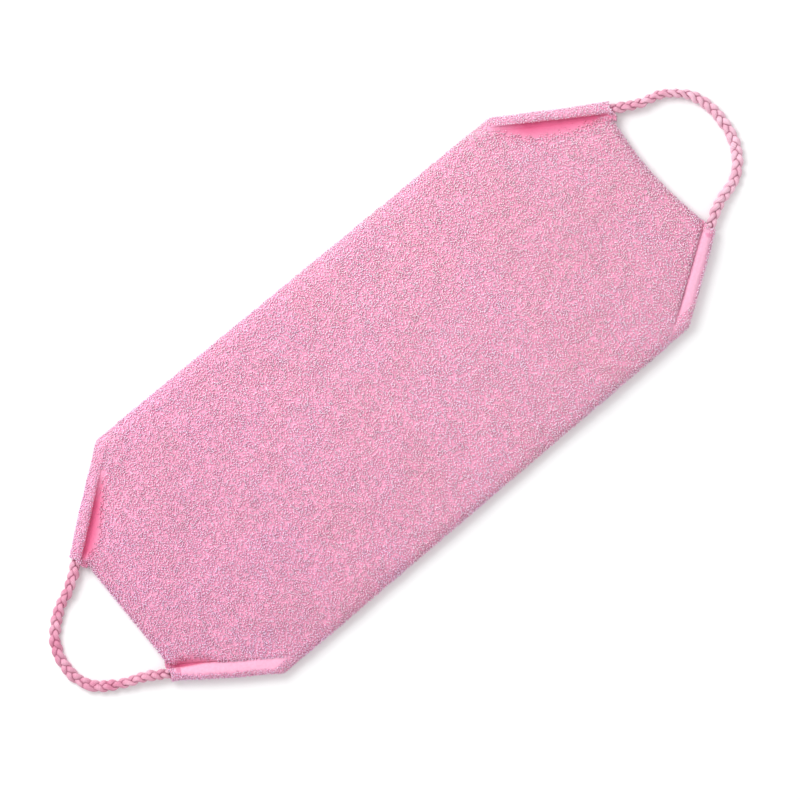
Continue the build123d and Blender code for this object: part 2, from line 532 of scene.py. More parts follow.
def spline_points(points, name):
    """Points along the smooth curve that a cord's route controls, evenly spaced."""
    curve = bpy.data.curves.new(name, "CURVE")
    curve.dimensions = "3D"
    curve.resolution_u = 64
    spline = curve.splines.new("NURBS")
    spline.points.add(len(points) - 1)
    for point, place in zip(spline.points, points):
        point.co = (*place, 1.0)
    spline.order_u = 3
    spline.use_endpoint_u = True
    holder = bpy.data.objects.new(name, curve)
    bpy.context.scene.collection.objects.link(holder)
    bpy.context.view_layer.update()
    mesh = bpy.data.meshes.new_from_object(holder)
    line = np.array([v.co for v in mesh.vertices])
    bpy.data.objects.remove(holder)
    bpy.data.meshes.remove(mesh)
    runs = np.linalg.norm(np.diff(line, axis=0), axis=1)
    travelled = np.concatenate([[0], np.cumsum(runs)])
    count = round(travelled[-1] / ring_step) + 1
    even = np.linspace(0, travelled[-1], count)
    return np.stack([np.interp(even, travelled, line[:, axis]) for axis in range(3)], axis=1)


def plaited_cord(name, route, aims, rolls, dye_and_shade_stops):
    """A soft three-strand plait along a route, with a tail of it inside each hem. rolls are stops,
    (share of the length, degrees), of how far the flat plait turns about its own length."""
    tails = []
    for mouth, aim in zip((route[0], route[-1]), aims):
        inside = np.subtract(mouth[:2], aim)
        tails.append((*(mouth[:2] + inside / np.linalg.norm(inside) * tail), held))
    line = spline_points([tails[0], *route, tails[1]], name + "_route")
    travelled = np.arange(len(line)) * ring_step
    out_of_hem = np.minimum(travelled, travelled[-1] - travelled) - tail
    squeeze = 1 - hem_squeeze * (1 - ease(out_of_hem / (14 * mm)))
    ahead = np.gradient(line, axis=0)
    ahead /= np.linalg.norm(ahead, axis=1)[:, None]
    level = np.cross(ahead, (0, 0, 1))
    level /= np.linalg.norm(level, axis=1)[:, None]
    upright = np.cross(level, ahead)
    shares, turns = zip(*rolls)
    roll = np.radians(np.interp(travelled / travelled[-1], shares, turns))[:, None]
    aside = level * np.cos(roll) + upright * np.sin(roll)
    above = upright * np.cos(roll) - level * np.sin(roll)

    centres = []
    for strand in range(3):
        slack = np.array([noise.noise(Vector((s / 0.011, strand * 5.0, 1.5))) for s in travelled])
        phase = 2 * math.pi * (travelled / strand_period + strand / 3) + 0.5 * slack
        sway = strand_sway * np.sin(phase) * (1 + 0.25 * slack) * squeeze
        lift = strand_lift * np.sin(2 * phase)
        centres.append(line + aside * sway[:, None] + above * lift[:, None])

    around = np.linspace(0, 2 * math.pi, strand_sides, endpoint=False)
    rings = []
    for strand, centre in enumerate(centres):
        plump = np.array([noise.noise(Vector((s / 0.008, strand * 7.0, 4.5))) for s in travelled])
        heading = np.gradient(centre, axis=0)
        heading /= np.linalg.norm(heading, axis=1)[:, None]
        across = np.cross(heading, above)
        across /= np.linalg.norm(across, axis=1)[:, None]
        over = np.cross(across, heading)
        flute = 1 + 0.05 * np.cos(6 * around[None, :] - 2 * math.pi * travelled[:, None] / (7 * mm))
        flute = (flute * (squeeze * (1 + 0.16 * plump))[:, None])[:, :, None]
        rings.append(
            centre[:, None, :]
            + across[:, None, :] * np.cos(around)[None, :, None] * strand_wide * flute
            + over[:, None, :] * np.sin(around)[None, :, None] * strand_thick * flute
        )
    rings = np.array(rings)

    # Between the hems the plait lies on the floor, and gives a little where it touches it.
    lowest = rings[..., 2].min(axis=(0, 2))
    spread = np.hanning(31)
    lowest = np.convolve(np.pad(lowest, 15, mode="edge"), spread / spread.sum(), mode="valid")
    drop = (lowest - floor_gap) * ease((held - line[:, 2]) / (held - lying))
    line[:, 2] -= drop
    rings[..., 2] = np.maximum(rings[..., 2] - drop[None, :, None], floor_gap)

    # Painted shade: strands are deeper in colour where they come close to each other, as shade falls
    # between them.
    vertices = rings.reshape(-1, 3)
    gap_shade = []
    for strand in range(3):
        others = [c for number, c in enumerate(centres) if number != strand]
        tree = KDTree(2 * len(line))
        for number, spot in enumerate(np.concatenate(others)):
            tree.insert(spot - (0, 0, drop[number % len(line)]), number)
        tree.balance()
        for spot in rings[strand].reshape(-1, 3):
            gap = tree.find(spot)[2] - strand_thick
            gap_shade.append(1 - min(1.0, max(0.0, gap / gap_shade_reach)))
    faces = []
    for strand in range(3):
        start = strand * len(line) * strand_sides
        faces += [
            tuple(start + corner for corner in face)
            for face in grid_faces(len(line), strand_sides, closed=True)
        ]
        stop = start + len(line) * strand_sides
        faces.append(tuple(range(start, start + strand_sides)))
        faces.append(tuple(range(stop - 1, stop - 1 - strand_sides, -1)))
    # Uneven dye, with painted shade on the right cord's top arc, where the plait stands edge up.
    depth = np.interp(travelled / travelled[-1], *zip(*dye_and_shade_stops))
    depth = np.tile(np.repeat(depth, strand_sides), 3)
    piece = new_piece(name, vertices, faces, cord_material, {"gap_shade": gap_shade, "dye_and_shade_depth": depth})
    strand_map(piece, len(line))
    return piece, line


def strand_map(piece, rings):
    """Two maps of the strands: one in strand widths for the material, and one that lays them out
    side by side in rows."""
    mesh = piece.data
    index = np.zeros(len(mesh.loops), np.int32)
    mesh.loops.foreach_get("vertex_index", index)
    strand, rest = np.divmod(index, rings * strand_sides)
    ring, side = np.divmod(rest, strand_sides)
    side = side.astype(float)
    totals = np.zeros(len(mesh.polygons), np.int32)
    mesh.polygons.foreach_get("loop_total", totals)
    face = np.repeat(np.arange(len(totals)), totals)
    lowest = np.full(len(totals), rings)
    np.minimum.at(lowest, face, ring)
    highest_side = np.zeros(len(totals))
    np.maximum.at(highest_side, face, side)
    wraps = (side == 0) & (highest_side[face] == strand_sides - 1)
    side[wraps] = strand_sides
    rows = 4
    share = ring / (rings - 1)
    row = np.minimum(lowest[face] * rows // (rings - 1), rows - 1)
    along = share * rows - row
    band = strand * rows + row
    for map_name, u, v in (
        ("strand", ring * ring_step / (4 * mm), side / strand_sides),
        ("OFBake", 0.01 + 0.98 * along, (band + 0.04 + 0.92 * side / strand_sides) / (3 * rows)),
    ):
        layer = mesh.uv_layers.new(name=map_name)
        layer.data.foreach_set("uv", np.stack([u, v], axis=1).astype(np.float32).ravel())


for end, route in routes.items():
    handle, line = plaited_cord(
        f"plaited_cord_{end}", route, hem_aims[end], cord_rolls[end], cord_dye_and_shade[end]
    )
    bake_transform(handle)
    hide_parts(f"handle_cord_{end}", f"cord_tail_{end}_upper", f"cord_tail_{end}_lower")

# --------------------------------------------------------------------------------- plan of the pad

pile_room = 1.3 * mm  # the cloth stays this far inside the pad's outline, for the loops on it
cloth_top = pad_top - pile_room
cloth_bottom = back_low.z + 1.2 * mm
side_round = 8.0 * mm  # how far in the front's rounded edge reaches, at the sides and ends
hem_round = 5.0 * mm  # and beside a hem
hem_body = hem_radius - 0.6 * mm  # a hem's own cloth, under its loops
hem_crest = held + hem_body
crease_round = 0.8 * mm  # the rounding where a fold meets the panel
crown_rise = 1.0 * mm  # the pad's middle over its edges
wave_height = 1.1 * mm


class Hem:
    """One rolled hem. It carries on its cord's first run, from the mouth up to the long side. Its
    sizes are lists of stops, (distance from the mouth, size) in millimetres."""

    def __init__(self, end, side, **shape):
        self.name = f"{end}_{side}"
        self.end = 1 if end == "right" else -1
        self.side = 1 if side == "upper" else -1
        mouth = np.array(routes[end][:: self.side][0][:2])
        self.mouth = mouth
        inside = mouth - hem_aims[end][:: self.side][0]
        self.along = inside / np.linalg.norm(inside)
        turned = np.array([self.along[1], -self.along[0]])
        self.inward = turned * (-self.end * self.side)
        self.length = (half_width - abs(mouth[1])) / abs(self.along[1])
        self.shape = shape

    def size(self, name, along):
        """One of its sizes, at distances from its mouth."""
        return profile(self.shape[name], along)

    def body(self, along):
        """The outside of its roll of cloth, which is drawn in at the mouth."""
        return hem_body * (1 - 0.2 * np.exp(-np.maximum(along, 0) / (8 * mm)))

    def locate(self, x, y):
        """How far up the hem, and how far in from its centre line, places in the plan are."""
        gap = np.stack([x - self.mouth[0], y - self.mouth[1]], axis=-1)
        return gap @ self.along, gap @ self.inward

    def place(self, along, inward):
        """The X and Y of places given as locate gives them."""
        spot = self.mouth + self.along * along[..., None] + self.inward * inward[..., None]
        return spot[..., 0], spot[..., 1]

    def stop(self, along, inward):
        """How far up the hem the pad's long side is, at each distance in from its centre line."""
        x, y = self.place(along + 0 * inward, inward + 0 * along)
        reach = side_reach(x, self.side) - self.side * (self.mouth[1] + self.inward[1] * inward)
        return reach / abs(self.along[1])

    def edge_y(self, x):
        """Where the panels' cut edge is, at each x."""
        along = (x - self.mouth[0] - self.inward[0] * panel_edge) / self.along[0]
        return self.mouth[1] + self.along[1] * along + self.inward[1] * panel_edge


# All along each hem: floor is the bare strip between its roll and the panel's loops, depth how far
# the crease lies under the top, crease its distance from the hem's centre line, bare how far out the
# smooth part of the roll reaches, fold_shade how strong the painted shade, a deep rose, is in the fold,
# in thousandths, and outer how far the roll's outer side is from the centre line. ear is the share by
# which the outer side flares at the mouth, and soft the width, in millimetres, over which the panel's
# loops thin out beside the floor.
hems = [
    Hem(
        "right",
        "upper",
        floor=[(0, 0), (12, 3), (30, 8), (55, 10), (72, 5), (84, 0)],
        depth=[(0, 3.0), (15, 5.0), (55, 5.0), (74, 2.5), (88, 0.4)],
        crease=[(0, 3.5), (25, 3.4), (60, 3.0), (90, 3.0)],
        bare=[(0, 20), (90, 20)],
        fold_shade=[(0, 300), (12, 900), (60, 1000), (78, 500), (88, 0)],
        ear=0.3,
        outer=[(0, 3.9), (28, 3.7), (60, 3.4), (90, 3.6)],
        soft=6.0,
    ),
    Hem(
        "left",
        "upper",
        floor=[(0, 0), (8, 5), (20, 7), (40, 3.5), (55, 0.5), (62, 0)],
        depth=[(0, 3.0), (8, 5.0), (42, 4.5), (60, 2.0), (88, 0.4)],
        crease=[(0, 3.5), (25, 3.4), (60, 3.0), (90, 3.0)],
        bare=[(0, 20), (90, 20)],
        fold_shade=[(0, 400), (8, 1000), (40, 1000), (58, 400), (66, 0)],
        ear=0.1,
        outer=[(0, 4.1), (30, 4.6), (90, 4.6)],
        soft=3.0,
    ),
    Hem(
        "left",
        "lower",
        floor=[(0, 0), (6, 3), (18, 4.5), (32, 1.5), (42, 0)],
        depth=[(0, 3.0), (8, 4.5), (30, 3.5), (60, 2.0), (84, 0.4)],
        crease=[(0, 3.6), (10, 4.2), (25, 6.0), (90, 6.5)],
        bare=[(0, 3.0), (8, -0.5), (14, -1.5), (74, -1.5), (82, 6.0)],
        fold_shade=[(0, 500), (6, 1000), (24, 800), (40, 0)],
        ear=0.3,
        outer=[(0, 4.2), (20, 5.2), (70, 5.4), (90, 5.0)],
        soft=3.0,
    ),
    Hem(
        "right",
        "lower",
        floor=[(0, 0), (82, 0)],
        depth=[(0, 3.0), (50, 3.0), (70, 1.5), (82, 0.4)],
        crease=[(0, 3.8), (20, 4.6), (90, 4.8)],
        bare=[(0, 2.0), (4, -3.0), (54, -3.0), (66, 4.5)],
        fold_shade=[(0, 400), (6, 200), (20, 0)],
        ear=0.0,
        outer=[(0, 4.1), (20, 4.5), (90, 4.6)],
        soft=1.0,
    ),
]
edge_hems = {(hem.end, hem.side): hem for hem in hems}


def smooth_least(a, b, blend):
    """The lesser of two sizes, with the corner between them rounded."""
    share = np.clip(0.5 + 0.5 * (b - a) / blend, 0, 1)
    return b + (a - b) * share - blend * share * (1 - share)


def end_reach(x, y):
    """How far out the end edges are: a little hollow at the right end, nearly straight at the left."""
    right = half_length + 2.7 * mm - 4.0 * mm * np.cos(math.pi * y / 0.095) - 0.022 * y
    left = half_length + 1.6 * mm - 0.012 * y
    return np.where(x > 0, right, left) - pile_room


def side_reach(x, y):
    """How far out the long sides are: the pad narrows a little towards its right end."""
    upper = half_width - 1.0 * mm - 0.008 * x
    lower = half_width + 1.1 * mm - 0.011 * x
    return np.where(y > 0, upper, lower) - pile_room


def unevenness(x, y):
    """Soft waves in the cloth, a few centimetres long."""
    places = np.stack([x, y], axis=-1).reshape(-1, 2)
    waves = [
        noise.noise(Vector((px / 0.055, py / 0.038, 3.7)))
        + 0.5 * noise.noise(Vector((px / 0.024, py / 0.019, 9.1)))
        + 0.3 * noise.noise(Vector((px / 0.011, py / 0.009, 6.3)))
        for px, py in places
    ]
    return np.array(waves).reshape(np.shape(x))


def free_edge(x, y):
    """0 on the pad's sides and ends, and 1 where their rounded edges stop."""
    from_side = side_reach(x, y) - np.abs(y)
    from_end = end_reach(x, y) - np.abs(x)
    return round_over(from_side / side_round) * round_over(from_end / side_round)


def front_height(x, y):
    """The height of the front cloth, which is seamed to the back at its sides and ends, and dips
    into a fold beside each hem."""
    rise = cloth_top - seam_height
    height = seam_height + rise * free_edge(x, y)
    for hem in hems:
        along, inward = hem.locate(x, y)
        from_edge = inward - panel_edge
        floor = hem.size("floor", along)
        foot = cloth_top - hem.size("depth", along)
        reach = hem_round + floor
        slack = floor / (floor + 5 * mm)
        t = from_edge / reach
        climb = (1 - slack) * round_over(t) + slack * ease(t)
        fold = foot + (cloth_top + 0.6 * mm - foot) * climb
        fold = seam_height + (fold - seam_height) * ease(from_edge / crease_round)
        height = smooth_least(height, fold, crease_round)
    height = np.maximum(height, seam_height)
    from_sides = ease((half_width - np.abs(y)) / (90 * mm))
    from_ends = ease((half_length - np.abs(x)) / (120 * mm))
    swell = (height - seam_height) / rise
    return height + swell * (crown_rise * from_sides * from_ends + wave_height * unevenness(x, y))


def back_height(x, y):
    """The height of the back cloth, which lies flat and turns up to the seam at every edge."""
    height = free_edge(x, y)
    for hem in hems:
        height = np.minimum(height, round_over((hem.locate(x, y)[1] - panel_edge) / (4 * mm)))
    return seam_height - (seam_height - cloth_bottom) * height


# ------------------------------------------------------------------------------------ pad's cloths

rim_steps = np.array([0, 0.3, 0.8, 1.5, 2.4, 3.5, 4.8, 6.3, 8.0, 10.0, 12.2, 15.0, 18.5]) * mm
plain_step = 4 * mm
panel_thickness = 1.0 * mm
corner_round = 3 * mm  # where a hem's edge meets the long side


def stations(span):
    """Places across a span as shares of it, close together near both its edges."""
    plain = span - 2 * rim_steps[-1]
    middle = rim_steps[-1] + np.linspace(0, plain, round(plain / plain_step) + 1)
    return np.concatenate([rim_steps[:-1], middle, span - rim_steps[-2::-1]]) / span


def plan_grid():
    """A grid of places that fills the panels' outline."""
    x = (stations(2 * half_length) * 2 - 1) * half_length
    v = stations(2 * half_width)
    limits = []
    for side in (1, -1):
        reach = side_reach(x, side)
        for end in (1, -1):
            reach = smooth_least(reach, side * edge_hems[end, side].edge_y(x), corner_round)
        limits.append(side * reach)
    upper, lower = limits
    y = lower[:, None] + (upper - lower)[:, None] * v[None, :]
    x = np.repeat(x[:, None], len(v), axis=1)
    return x * end_reach(x, y) / half_length, y


plan_x, plan_y = plan_grid()


def fold_values(x, y):
    """Where the loops stand on the front cloth, and how much painted shade, a deep rose, it takes in a
    fold.
    """
    pile = np.ones_like(x)
    fold = np.zeros_like(x)
    for hem in hems:
        along, inward = hem.locate(x, y)
        from_edge = inward - panel_edge
        floor = hem.size("floor", along)
        near = (along > -2 * mm) & (along < hem.length)
        soft = hem.shape["soft"] * mm
        thinning = ease((from_edge - floor + soft) / (soft + 0.8 * mm))
        pile = np.where(near, np.minimum(pile, thinning), pile)
        # Painted shade in a fold: strongest at the crease and fading out across the floor.
        fold_shade = hem.size("fold_shade", along) / mm / 1000
        shade = fold_shade * (1 - ease((from_edge + 1 * mm) / (floor + 7 * mm)))
        fold = np.where(near, np.maximum(fold, shade), fold)
    return pile, fold


swell_mesh = 5 * mm  # of the coarse copy that is filled
swell_pressure = 0.5
swell_frames = 20
most_swell = 1.6 * mm


def filled_swell(front, back):
    """How far the front cloth swells over the sponge: a coarse copy of the sewn pad is blown up as
    cloth, and each place on the front takes the mean rise of the nearest parts of the copy."""
    faces = [face[::-1] for face in grid_faces(*plan_x.shape)]
    faces += [tuple(len(front) + corner for corner in face[::-1]) for face in faces]
    coarse = new_piece("filled_pad", np.concatenate([front, back]), faces, ground_material)
    tidy_mesh(coarse, 0.05 * mm)
    remesh = coarse.modifiers.new("even", "REMESH")
    remesh.mode = "VOXEL"
    remesh.voxel_size = swell_mesh
    as_plain_mesh(coarse)
    before = np.array([v.co for v in coarse.data.vertices])
    cloth = coarse.modifiers.new("cloth", "CLOTH")
    cloth.settings.use_pressure = True
    cloth.settings.uniform_pressure_force = swell_pressure
    cloth.settings.quality = 6
    cloth.settings.effector_weights.gravity = 0.0
    for frame_number in range(1, swell_frames + 1):
        bpy.context.scene.frame_set(frame_number)
    as_plain_mesh(coarse)
    rise = np.array([v.co for v in coarse.data.vertices])[:, 2] - before[:, 2]
    bpy.context.scene.frame_set(1)
    bpy.data.objects.remove(coarse)
    upper = np.flatnonzero(before[:, 2] > seam_height)
    tree = KDTree(len(upper))
    for number in upper:
        tree.insert(before[number], int(number))
    tree.balance()
    swell = []
    for place in front:
        found = tree.find_n(place, 8)
        weights = np.array([1 / (distance + 2 * mm) for _, _, distance in found])
        swell.append(weights @ rise[[number for _, number, _ in found]] / weights.sum())
    return np.array(swell)


def cloth_piece(name, height, faces, pile, fold):
    """One of the pad's two cloths, at its height over the plan of the pad."""
    points = np.stack([plan_x, plan_y, height(plan_x, plan_y)], axis=-1)
    values = {"pile": pile, "fold": fold, "bare": np.zeros_like(pile)}
    return new_piece(name, points.reshape(-1, 3), faces, ground_material, values)


facing_down = grid_faces(*plan_x.shape)
facing_up = [face[::-1] for face in facing_down]
front_cloth = cloth_piece("front_cloth", front_height, facing_up, *fold_values(plan_x, plan_y))
back_cloth = cloth_piece(
    "back_cloth", back_height, facing_down, np.ones_like(plan_x), np.zeros_like(plan_x)
)

front_points, back_points = (
    np.array([v.co for v in cloth.data.vertices]) for cloth in (front_cloth, back_cloth)
)
swell = most_swell * np.tanh(filled_swell(front_points, back_points) / most_swell)
from_hems = np.min([hem.locate(*front_points[:, :2].T)[1] - panel_edge for hem in hems], axis=0)
inner = ease(from_hems / (30 * mm)) * free_edge(front_points[:, 0], front_points[:, 1])
for vertex, rise in zip(front_cloth.data.vertices, swell * inner):
    vertex.co.z += rise


# A hem's cloth is a grid: rows from its mouth to the long side, and columns across it, first in its
# tuck between the panels, then round its roll, over the crest into the dip, and along its floor.
hem_rows = 84
tuck_columns = 5
roll_columns = 30
dip_columns = 10
floor_columns = 7
panel_lap = 3 * mm  # of a hem's cloth, in under the edge of the front cloth
hem_overrun = 14 * mm  # takes the hem's inner side up to the long side too
hem_thickness = 0.7 * mm
hem_lowest = 0.6 * mm  # over the floor, which leaves room for the loops


def flap_along(along, inward):
    """A hem's mouth is cut slanting: its inner side reaches up to 4 mm further out over the cord."""
    return along - 4 * mm * ease((inward + 1 * mm) / (7 * mm)) * np.exp(-along / (10 * mm))


def hem_piece(hem):
    """A hem's cloth: out from between the panels, rolled round the cord, over its crest, down to
    the crease, and in under the edge of the front cloth."""
    along = np.linspace(0, hem.length + hem_overrun, hem_rows)[:, None]
    around = np.radians(np.linspace(-40, -270, roll_columns))[None, :]
    crease = hem.size("crease", along)
    foot = cloth_top - hem.size("depth", along)
    near_mouth = np.exp(-np.maximum(along, 0) / (7 * mm))
    ear = 1 + hem.shape["ear"] * near_mouth
    wobble = [noise.noise(Vector((s / 0.019, 2.5, 8.0 * hem.side + hem.end))) for s in along[:, 0]]
    outer = hem.size("outer", along) * (1 + 0.12 * np.array(wobble)[:, None])
    body = hem.body(along)
    crest = held + body
    roll_in = np.where(np.cos(around) < 0, outer * ear, body) * np.cos(around)
    roll_up = held + body * np.sin(around)
    dip = np.radians(np.linspace(9, 90, dip_columns))[None, :]
    dip_in = crease * np.sin(dip)
    dip_up = foot + (crest - foot) * np.cos(dip)
    across_floor = np.linspace(0.15, 1, floor_columns)[None, :]
    floor_in = crease + (panel_edge + panel_lap - crease) * across_floor
    tuck_in = np.linspace(panel_edge + panel_lap, 4.4 * mm, tuck_columns)[None, :] + 0 * along
    tuck_up = np.linspace(seam_height - 0.4 * mm, roll_up[0, 0] + 0.2 * mm, tuck_columns)[None, :]
    x, y = hem.place(flap_along(along, floor_in), floor_in)
    under_panel = front_height(x, y) - 0.25 * mm
    floor_up = np.where(floor_in > panel_edge, np.minimum(under_panel, foot + 1 * mm), foot)
    floor_up = np.maximum(floor_up, foot - 0.3 * mm)
    inward = np.concatenate([tuck_in, roll_in, dip_in, floor_in], axis=1)
    up = np.concatenate([tuck_up + 0 * along, roll_up, dip_up, floor_up], axis=1)
    x, y = hem.place(np.minimum(flap_along(along, inward), hem.stop(along, inward)), inward)
    side = side_reach(x, y)
    y = np.clip(y, -side, side)
    top = seam_height + (hem_crest - seam_height) * round_over((side - np.abs(y)) / side_round)
    low = seam_height - (seam_height - hem_lowest) * round_over((side - np.abs(y)) / side_round)
    up = np.clip(up + 0.35 * mm * unevenness(x, y) * (up > held), low, top)
    columns = np.arange(inward.shape[1])[None, :] - tuck_columns + 0 * along
    past_roll = columns >= roll_columns
    bare_from = hem.size("bare", along)
    on_top = (up > held - 1.5 * mm) & (columns >= roll_columns / 2)
    smooth = np.where(on_top, ease((inward - bare_from + 0.6 * mm) / (1.2 * mm)), 0)
    floor_part = ease((inward - crease + 1.2 * mm) / (1.2 * mm)) * past_roll
    # Painted shade: the lower the hem's cloth sits under its crest, the deeper rose it takes.
    sunk = (crest - up) / (crest - foot) * past_roll
    fold = ease((sunk - 0.3) / 0.7) * hem.size("fold_shade", along) / mm / 1000
    closing = ease(np.maximum(hem.size("fold_shade", along), hem.size("floor", along)) / (0.3 * mm))
    pile = 1 - np.maximum(smooth, floor_part * closing)
    pile = np.maximum(pile, 1 - ease((along - 2.5 * mm) / (3 * mm)))
    points = np.stack([x, y, up], axis=-1).reshape(-1, 3)
    values = {"pile": pile, "fold": fold, "bare": smooth}
    return new_piece(
        f"rolled_hem_{hem.name}", points, grid_faces(*inward.shape), ground_material, values
    )


def face_upwards(piece):
    """Merges an open cloth's doubles, and turns its faces so that those on top look up."""
    work = bmesh.new()
    work.from_mesh(piece.data)
    bmesh.ops.remove_doubles(work, verts=work.verts, dist=0.05 * mm)
    if sum(face.normal.z for face in work.faces if face.calc_center_median().z > held) < 0:
        bmesh.ops.reverse_faces(work, faces=work.faces)
    work.to_mesh(piece.data)
    work.free()


hem_cloths = [hem_piece(hem) for hem in hems]
for piece in hem_cloths:
    face_upwards(piece)

# -------------------------------------------------------------------------------------------- pile

loop_segments = 4
yarn_sides = 3
most_loops = 1.2e6  # on a square metre, before their pitch thins them out
loop_hands = (0.3, -0.3)  # how far a loop's S sways to each side, as a share of its width


def pile_tree():
    """Stands crimped loops of yarn all over a cloth, thinly where its pile attribute is low."""
    tree = bpy.data.node_groups.new("loop_pile", "GeometryNodeTree")
    face = tree.interface
    face.new_socket("Geometry", in_out="INPUT", socket_type="NodeSocketGeometry")
    for name in ("Pitch", "Loop Width", "Loop Height", "Yarn Radius", "From Y", "To Y"):
        face.new_socket(name, in_out="INPUT", socket_type="NodeSocketFloat")
    face.new_socket("Seed", in_out="INPUT", socket_type="NodeSocketInt")
    face.new_socket("Yarn", in_out="INPUT", socket_type="NodeSocketMaterial")
    face.new_socket("Geometry", in_out="OUTPUT", socket_type="NodeSocketGeometry")
    given = add(tree, "NodeGroupInput").outputs

    coat = add(tree, "GeometryNodeInputNamedAttribute", {"Name": "pile"}, data_type="FLOAT")
    spots = add(
        tree,
        "GeometryNodeDistributePointsOnFaces",
        {
            "Mesh": given["Geometry"],
            "Distance Min": given["Pitch"],
            "Density Max": most_loops,
            "Density Factor": coat.outputs[0],
            "Seed": given["Seed"],
        },
        distribute_method="POISSON",
    )
    y = add(
        tree,
        "ShaderNodeSeparateXYZ",
        {0: add(tree, "GeometryNodeInputPosition").outputs[0]},
    ).outputs["Y"]
    below = add(tree, "FunctionNodeCompare", {0: y, 1: given["From Y"]}, operation="LESS_THAN")
    above = add(tree, "FunctionNodeCompare", {0: y, 1: given["To Y"]}, operation="GREATER_EQUAL")
    outside = add(
        tree,
        "FunctionNodeBooleanMath",
        {0: below.outputs[0], 1: above.outputs[0]},
        operation="OR",
    )
    strip = add(
        tree,
        "GeometryNodeDeleteGeometry",
        {"Geometry": spots.outputs["Points"], "Selection": outside.outputs[0]},
    )

    section = add(
        tree,
        "GeometryNodeCurvePrimitiveCircle",
        {"Resolution": yarn_sides, "Radius": given["Yarn Radius"]},
    )
    round_section = add(
        tree,
        "GeometryNodeStoreNamedAttribute",
        {
            "Geometry": section.outputs["Curve"],
            "Name": "lay_round",
            "Value": add(tree, "GeometryNodeSplineParameter").outputs["Factor"],
        },
        data_type="FLOAT",
        domain="POINT",
    )
    hands = add(tree, "GeometryNodeJoinGeometry")
    for hand in loop_hands:
        loop = pile_loop(tree, given, round_section.outputs[0], hand)
        tree.links.new(loop, hands.inputs[0])

    turn = add(
        tree,
        "FunctionNodeRandomValue",
        {0: (-0.45, -0.45, 0.0), 1: (0.45, 0.45, 6.283), "Seed": 11},
        data_type="FLOAT_VECTOR",
    )
    facing = add(
        tree,
        "FunctionNodeRotateRotation",
        {"Rotation": spots.outputs["Rotation"], "Rotate By": turn.outputs[0]},
        rotation_space="LOCAL",
    )
    size = add(
        tree,
        "FunctionNodeRandomValue",
        {0: (0.85, 0.85, 0.8), 1: (1.2, 1.2, 1.2), "Seed": 12},
        data_type="FLOAT_VECTOR",
    )
    thin = add(tree, "ShaderNodeMapRange", {"Value": coat.outputs[0], "To Min": 0.45})
    scale = add(
        tree,
        "ShaderNodeVectorMath",
        {0: size.outputs[0], "Scale": thin.outputs[0]},
        operation="SCALE",
    )
    stood = add(
        tree,
        "GeometryNodeInstanceOnPoints",
        {
            "Points": strip.outputs[0],
            "Instance": hands.outputs[0],
            "Pick Instance": True,
            "Rotation": facing.outputs[0],
            "Scale": scale.outputs[0],
        },
    )
    toned = add(
        tree,
        "GeometryNodeStoreNamedAttribute",
        {
            "Geometry": stood.outputs[0],
            "Name": "tone",
            "Value": add(tree, "FunctionNodeRandomValue", {"Seed": 13}).outputs[1],
        },
        data_type="FLOAT",
        domain="INSTANCE",
    )
    real = add(tree, "GeometryNodeRealizeInstances", {0: toned.outputs[0]})
    smooth = add(tree, "GeometryNodeSetShadeSmooth", {0: real.outputs[0]})
    yarn = add(
        tree,
        "GeometryNodeSetMaterial",
        {"Geometry": smooth.outputs[0], "Material": given["Yarn"]},
    )
    add(tree, "NodeGroupOutput", {0: yarn.outputs[0]})
    return tree


def pile_loop(tree, given, section, hand):
    """One loop of yarn as an instance: up out of the cloth, over in an S, and back into it."""
    share = add(tree, "GeometryNodeSplineParameter").outputs["Factor"]
    half_turn = add(tree, "ShaderNodeMath", {0: share, 1: math.pi}, operation="MULTIPLY")
    arch = add(tree, "ShaderNodeMath", {0: half_turn.outputs[0]}, operation="SINE")
    full_turn = add(tree, "ShaderNodeMath", {0: share, 1: 2 * math.pi}, operation="MULTIPLY")
    bend = add(tree, "ShaderNodeMath", {0: full_turn.outputs[0]}, operation="SINE")
    centred = add(tree, "ShaderNodeMath", {0: share, 1: 0.5}, operation="SUBTRACT")
    blunt = add(tree, "ShaderNodeMath", {0: arch.outputs[0], 1: 0.7}, operation="POWER")
    sunk = add(tree, "ShaderNodeMath", {0: blunt.outputs[0], 1: 0.15}, operation="SUBTRACT")
    wide, tall = given["Loop Width"], given["Loop Height"]
    bent = add(tree, "ShaderNodeMath", {0: bend.outputs[0], 1: hand}, operation="MULTIPLY")
    x = add(tree, "ShaderNodeMath", {0: centred.outputs[0], 1: wide}, operation="MULTIPLY")
    y = add(tree, "ShaderNodeMath", {0: bent.outputs[0], 1: wide}, operation="MULTIPLY")
    z = add(tree, "ShaderNodeMath", {0: sunk.outputs[0], 1: tall}, operation="MULTIPLY")
    spot = add(tree, "ShaderNodeCombineXYZ", {0: x.outputs[0], 1: y.outputs[0], 2: z.outputs[0]})
    line = add(tree, "GeometryNodeCurvePrimitiveLine", {"End": (0.0, 0.0, 1.0)})
    points = add(
        tree,
        "GeometryNodeResampleCurve",
        {"Curve": line.outputs[0], "Count": loop_segments + 1},
    )
    curve = points.outputs[0]
    # tip runs from 0 at a loop's roots to 1 at its crest; the yarn's painted shade and light follow it.
    for name, value in (("lay_along", share), ("tip", arch.outputs[0])):
        curve = add(
            tree,
            "GeometryNodeStoreNamedAttribute",
            {"Geometry": curve, "Name": name, "Value": value},
            data_type="FLOAT",
            domain="POINT",
        ).outputs[0]
    bent_curve = add(tree, "GeometryNodeSetPosition", {"Geometry": curve, "Position": spot.outputs[0]})
    solid = add(
        tree,
        "GeometryNodeCurveToMesh",
        {"Curve": bent_curve.outputs[0], "Profile Curve": section},
    )
    return add(tree, "GeometryNodeGeometryToInstance", {0: solid.outputs[0]}).outputs[0]


loop_pile = pile_tree()


